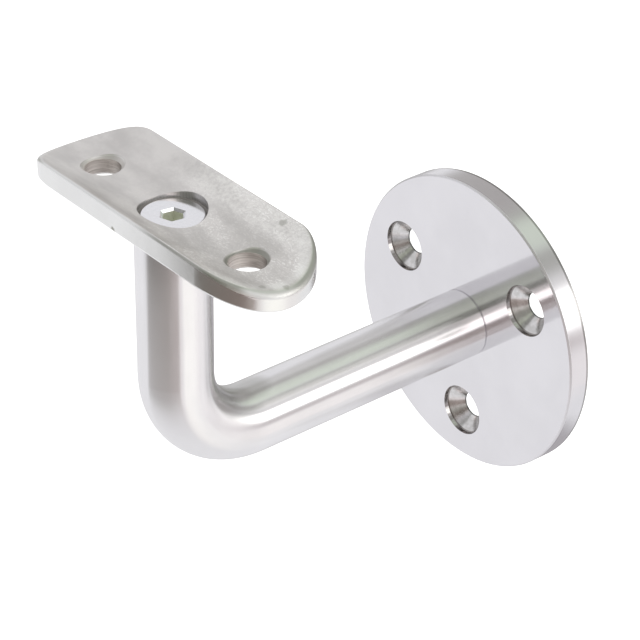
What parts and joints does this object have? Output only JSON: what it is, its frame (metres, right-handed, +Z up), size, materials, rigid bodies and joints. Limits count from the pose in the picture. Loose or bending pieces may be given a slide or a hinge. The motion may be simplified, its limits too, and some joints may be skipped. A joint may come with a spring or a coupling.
{
  "type": "handrail bracket",
  "caption": "Wall bracket for a round handrail: a countersunk round wall plate, a bar bent a quarter turn and a dished saddle with round ends that screws under the rail.",
  "frame": {"origin": "centre of the wall plate in the plane of the wall", "axes": "+Y into the wall, +Z up, X along the rail; the arm comes out along -Y and turns up to +Z"},
  "size_m": [0.075, 0.0988, 0.0957],
  "materials": {
    "plate_steel": "turned and polished stainless steel, rim brushed round",
    "bar_steel": "polished stainless steel bar with fine lengthwise grain",
    "saddle_steel": "matt tumbled stainless steel in the dish, polished on the edge",
    "screw_steel": "bright stainless steel"
  },
  "bodies": {
    "root": {"wall_plate": "plate_steel", "support_arm": "bar_steel", "rail_saddle": "saddle_steel", "saddle_screw": "screw_steel", "plate_screw": "screw_steel"}
  },
  "joints": []
}
